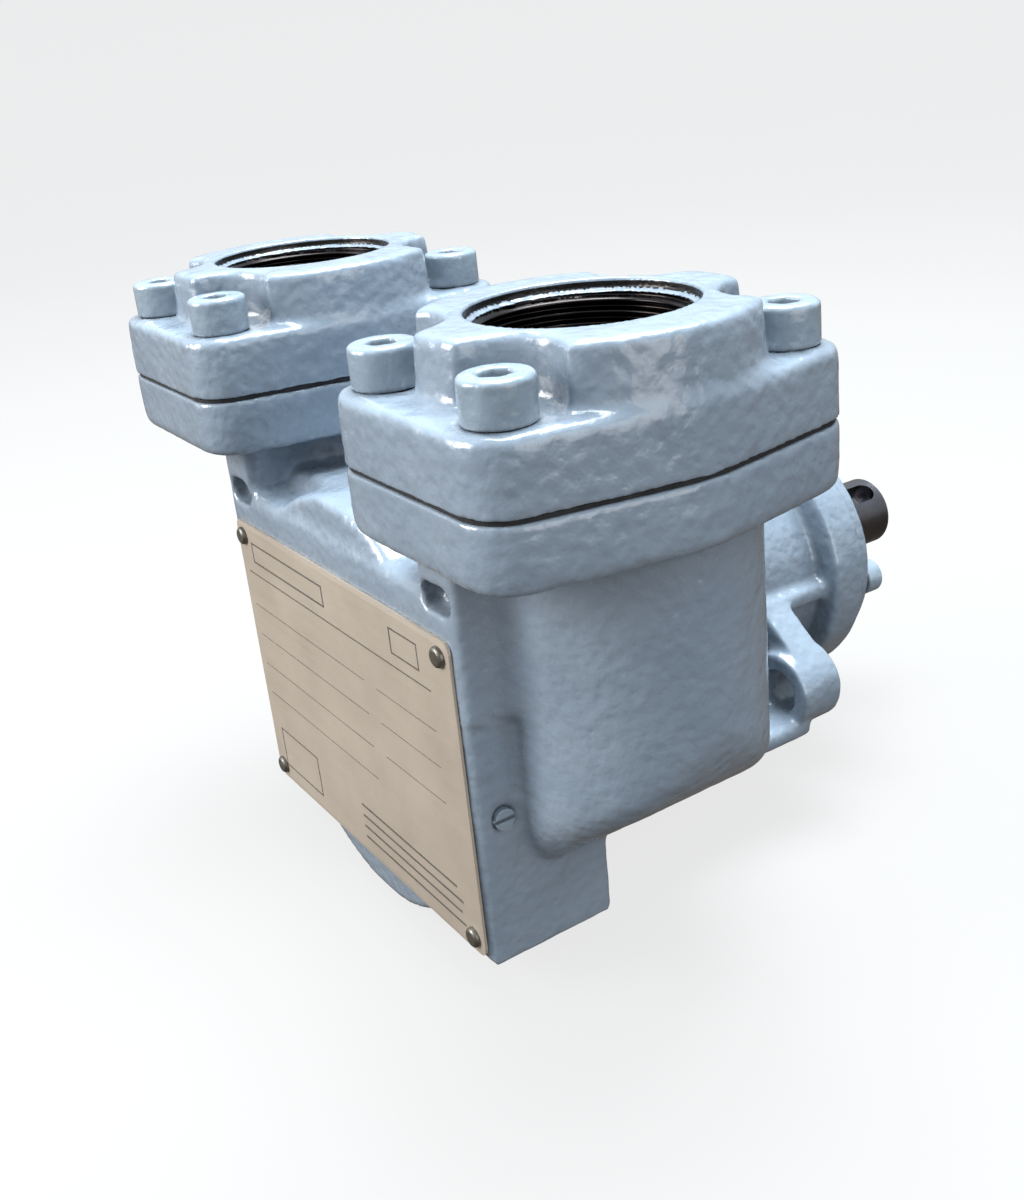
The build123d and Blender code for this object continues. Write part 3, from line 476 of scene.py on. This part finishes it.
# ---------------------------------------------------------------- nameplate
def grid_plate(name, low, high, corner, step, wave):
    """A thin sheet facing -Y with round corners, soft edges and a slight waviness."""
    nx = round((high.x - low.x) / step)
    nz = round((high.z - low.z) / step)
    centre_x, centre_z = (low.x + high.x) / 2, (low.z + high.z) / 2
    half_x, half_z = (high.x - low.x) / 2, (high.z - low.z) / 2
    front, back = {}, {}
    points = []
    for i in range(nx + 1):
        for j in range(nz + 1):
            x = (i / nx * 2 - 1) * half_x
            z = (j / nz * 2 - 1) * half_z
            dx = max(abs(x) - (half_x - corner), 0)
            dz = max(abs(z) - (half_z - corner), 0)
            if dx > 0 and dz > 0:
                reach = math.hypot(dx, dz)
                bound = max(dx, dz)
                x = math.copysign(half_x - corner + dx * bound / reach, x)
                z = math.copysign(half_z - corner + dz * bound / reach, z)
            edge = min(i, nx - i, j, nz - j)
            drop = 0.00012 if edge == 0 else 0.0
            ripple = noise.noise(Vector((x * 45, 0, z * 45))) * wave + wave
            front[i, j] = len(points)
            points.append((centre_x + x, low.y + drop + ripple, centre_z + z))
            back[i, j] = len(points)
            points.append((centre_x + x, high.y, centre_z + z))
    faces = []
    for i in range(nx):
        for j in range(nz):
            a, b, c, d = (i, j), (i + 1, j), (i + 1, j + 1), (i, j + 1)
            faces.append([front[q] for q in (a, b, c, d)])
            faces.append([back[q] for q in (d, c, b, a)])
    rim = [(i, 0) for i in range(nx)] + [(nx, j) for j in range(nz)]
    rim += [(i, nz) for i in range(nx, 0, -1)] + [(0, j) for j in range(nz, 0, -1)]
    for a, b in zip(rim, rim[1:] + rim[:1]):
        faces.append([back[a], back[b], front[b], front[a]])
    mesh = bpy.data.meshes.new(name)
    mesh.from_pydata(points, [], faces)
    return mesh


plate_low, plate_high = (Vector(corner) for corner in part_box("nameplate"))
TAN = tan_plate()
sheet = grid_plate("nameplate_sheet", plate_low, plate_high, 0.0022, 0.0012, 0.00004)
sheet.materials.append(TAN)
plate = new_piece("nameplate_sheet", sheet, "housing")
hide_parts("nameplate")

# Ruled lines on the plate: across from the left edge, down from the top edge, width, height
RULES = (
    (4, 13.2, 92, 0.35), (4, 22.5, 60, 0.18), (4, 31.0, 60, 0.18), (4, 39.5, 60, 0.18), (4, 48.0, 60, 0.18),
    (70, 22.5, 26, 0.18), (70, 31.0, 26, 0.18), (70, 39.5, 26, 0.18),
    (52, 60.0, 44, 0.6), (52, 63.0, 46, 0.6), (52, 66.0, 45, 0.6), (52, 69.0, 46, 0.6),
)
# Empty fields, with the width of their outline last
FIELDS = ((6, 58.0, 22, 11.4, 0.4), (8, 4.6, 40, 5.5, 0.5), (80, 4.2, 12, 6.2, 0.4))


def outline(across, down, width, height, line):
    """Four bars round an empty field, with a hair's gap where they meet so that each is a closed solid."""
    gap = 0.05
    upright = height - 2 * (line + gap)
    return [
        (across, down, width, line),
        (across, down + height - line, width, line),
        (across, down + line + gap, line, upright),
        (across + width - line, down + line + gap, line, upright),
    ]


def rules_mesh():
    """The plate's filled engraving: thin bars that stand a hair above the sheet."""
    points, faces = [], []
    top, bottom = plate_low.y - 0.00001, plate_low.y + 0.0003
    bars = [*RULES, *(bar for field in FIELDS for bar in outline(*field))]
    for across, down, width, height in bars:
        x0 = plate_low.x + across * MM
        z1 = plate_high.z - down * MM
        x1, z0 = x0 + width * MM, z1 - height * MM
        base = len(points)
        for y in (top, bottom):
            points += [(x0, y, z0), (x1, y, z0), (x1, y, z1), (x0, y, z1)]
        faces.append([base + k for k in (0, 1, 2, 3)])
        faces.append([base + k for k in (7, 6, 5, 4)])
        for k in range(4):
            n = (k + 1) % 4
            faces.append([base + n, base + k, base + k + 4, base + n + 4])
    mesh = bpy.data.meshes.new("nameplate_rules")
    mesh.from_pydata(points, [], faces)
    mesh.materials.append(grained("plate_ink", (0.13, 0.115, 0.10), 0.6, 0.1, 900, 0.00002))
    return mesh


new_piece("nameplate_rules", rules_mesh(), "housing")


# ---------------------------------------------------------------- floor and light
def studio_bowl(name, flat, rise, rings=24, around=96):
    """A round floor that curves up into a wall, so that the background has no edge."""
    points, faces = [(0, 0, 0)], []
    profile = [(flat * k / 4, 0.0) for k in range(1, 5)]
    for k in range(1, rings + 1):
        t = k / rings * math.pi / 2
        profile.append((flat + rise * math.sin(t), rise * (1 - math.cos(t))))
    for r, z in profile:
        points += [(r * math.cos(j / around * math.tau), r * math.sin(j / around * math.tau), z)
                   for j in range(around)]
    for j in range(around):
        faces.append((0, 1 + j, 1 + (j + 1) % around))
    for i in range(len(profile) - 1):
        for j in range(around):
            a, b = 1 + i * around + j, 1 + i * around + (j + 1) % around
            faces.append((a, a + around, b + around, b))
    mesh = bpy.data.meshes.new(name)
    mesh.from_pydata(points, [], faces)
    for face in mesh.polygons:
        face.use_smooth = True
    made = bpy.data.objects.new(name, mesh)
    scene.collection.objects.link(made)
    made.location = (0, 0, cad_low.z - 0.0001)
    return made


bowl = studio_bowl("floor", 1.2, 1.6)
bowl.visible_diffuse = bowl.visible_glossy = False
pale = Finish("pale_floor", (0.075, 0.075, 0.075), 0.9)
pale.drive("Base Color", pale.mix(pale.noise(9, 3), (0.077, 0.077, 0.077), (0.072, 0.072, 0.072)))
pale.shader.inputs["Specular IOR Level"].default_value = 0.0
pale.shader.inputs["Emission Color"].default_value = (1, 1, 1, 1)
pale.shader.inputs["Emission Strength"].default_value = 0.765
bowl.data.materials.append(pale.material)

# The room's light by height: pale overhead, grey at eye level, warm and dark from below
SKY = (
    (0.00, (0.10, 0.085, 0.07)), (0.42, (0.17, 0.155, 0.14)), (0.52, (0.42, 0.43, 0.44)),
    (0.75, (0.62, 0.70, 0.76)), (1.00, (1.05, 1.25, 1.35)),
)
world = bpy.data.worlds.new("studio")
scene.world = world
world.use_nodes = True
nodes, links = world.node_tree.nodes, world.node_tree.links
direction = nodes.new("ShaderNodeTexCoord")
split = nodes.new("ShaderNodeSeparateXYZ")
links.new(direction.outputs["Generated"], split.inputs[0])
height = nodes.new("ShaderNodeMapRange")
height.inputs["From Min"].default_value = -1
links.new(split.outputs["Z"], height.inputs["Value"])
ramp = nodes.new("ShaderNodeValToRGB")
while len(ramp.color_ramp.elements) < len(SKY):
    ramp.color_ramp.elements.new(0.5)
for stop, (place, colour) in zip(ramp.color_ramp.elements, SKY):
    stop.position = place
    stop.color = (*colour, 1)
links.new(height.outputs[0], ramp.inputs["Fac"])
links.new(ramp.outputs["Color"], nodes["Background"].inputs["Color"])
nodes["Background"].inputs["Strength"].default_value = 1.15


def lamp(name, place, target, size, power, colour):
    data = bpy.data.lights.new(name, "AREA")
    data.shape, data.size, data.energy, data.color = "SQUARE", size, power, colour
    made = bpy.data.objects.new(name, data)
    scene.collection.objects.link(made)
    made.location = place
    made.rotation_euler = (Vector(target) - Vector(place)).to_track_quat("-Z", "Y").to_euler()
    return made


MIDDLE = (0.0, 0.02, 0.06)
lamp("key", (-0.35, -0.75, 0.45), MIDDLE, 0.5, 11.0, (1.0, 0.985, 0.96))
lamp("top", (-0.10, 0.20, 0.85), MIDDLE, 0.5, 17.5, (0.90, 0.97, 1.0))
lamp("fill", (0.95, 0.10, 0.30), MIDDLE, 0.6, 2.8, (1.0, 0.98, 0.96))
scene.view_settings.view_transform = "Standard"
